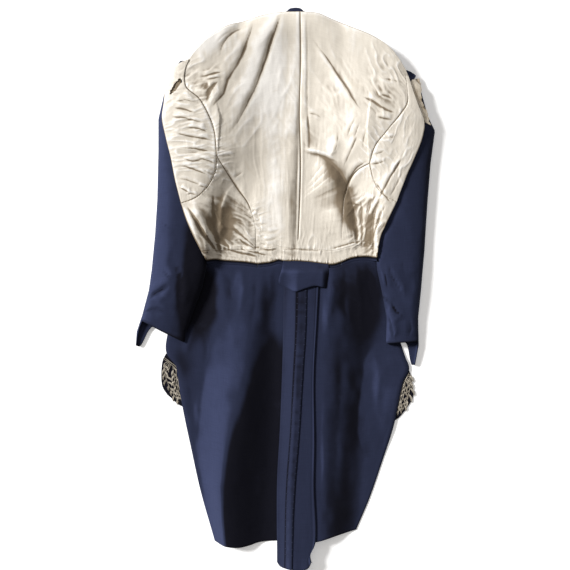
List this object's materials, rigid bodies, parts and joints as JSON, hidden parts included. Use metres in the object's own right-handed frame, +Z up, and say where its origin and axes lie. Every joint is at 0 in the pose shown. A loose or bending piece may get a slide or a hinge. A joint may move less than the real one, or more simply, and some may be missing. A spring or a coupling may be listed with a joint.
{
  "type": "tailcoat",
  "caption": "Dark blue wool tailcoat laid open with its ivory satin lining up, fronts spread over the plain sleeves, embroidered pocket flaps under the tails.",
  "frame": {"origin": "on the surface the coat lies on, under the middle of the waist seam", "axes": "+Z up from the surface through the lining, +Y towards the collar, +X towards the right of the picture, so that the coat is seen from inside with its own left side at -X"},
  "size_m": [0.5357, 1.0083, 0.038],
  "materials": {
    "wool": "fulled dark blue wool, dull with a soft nap",
    "satin": "aged ivory satin, soft sheen",
    "embroidery": "tarnished silver thread worked on dark wool"
  },
  "bodies": {
    "root": {"back_shell": "wool", "front_left": "wool", "front_right": "wool", "lining_back_left": "satin", "lining_back_right": "satin", "lining_side_left": "satin", "lining_side_right": "satin", "lining_chest_left": "satin", "lining_chest_right": "satin", "sleeve_head_left": "satin", "sleeve_head_right": "satin", "waist_band": "satin", "tail_left": "wool", "tail_right": "wool", "vent_underlap": "wool", "vent_facing": "wool", "vent_stay": "wool", "collar": "wool", "pocket_flap_left": "embroidery", "pocket_flap_right": "embroidery", "sleeve_left": "wool", "sleeve_right": "wool"}
  },
  "joints": []
}
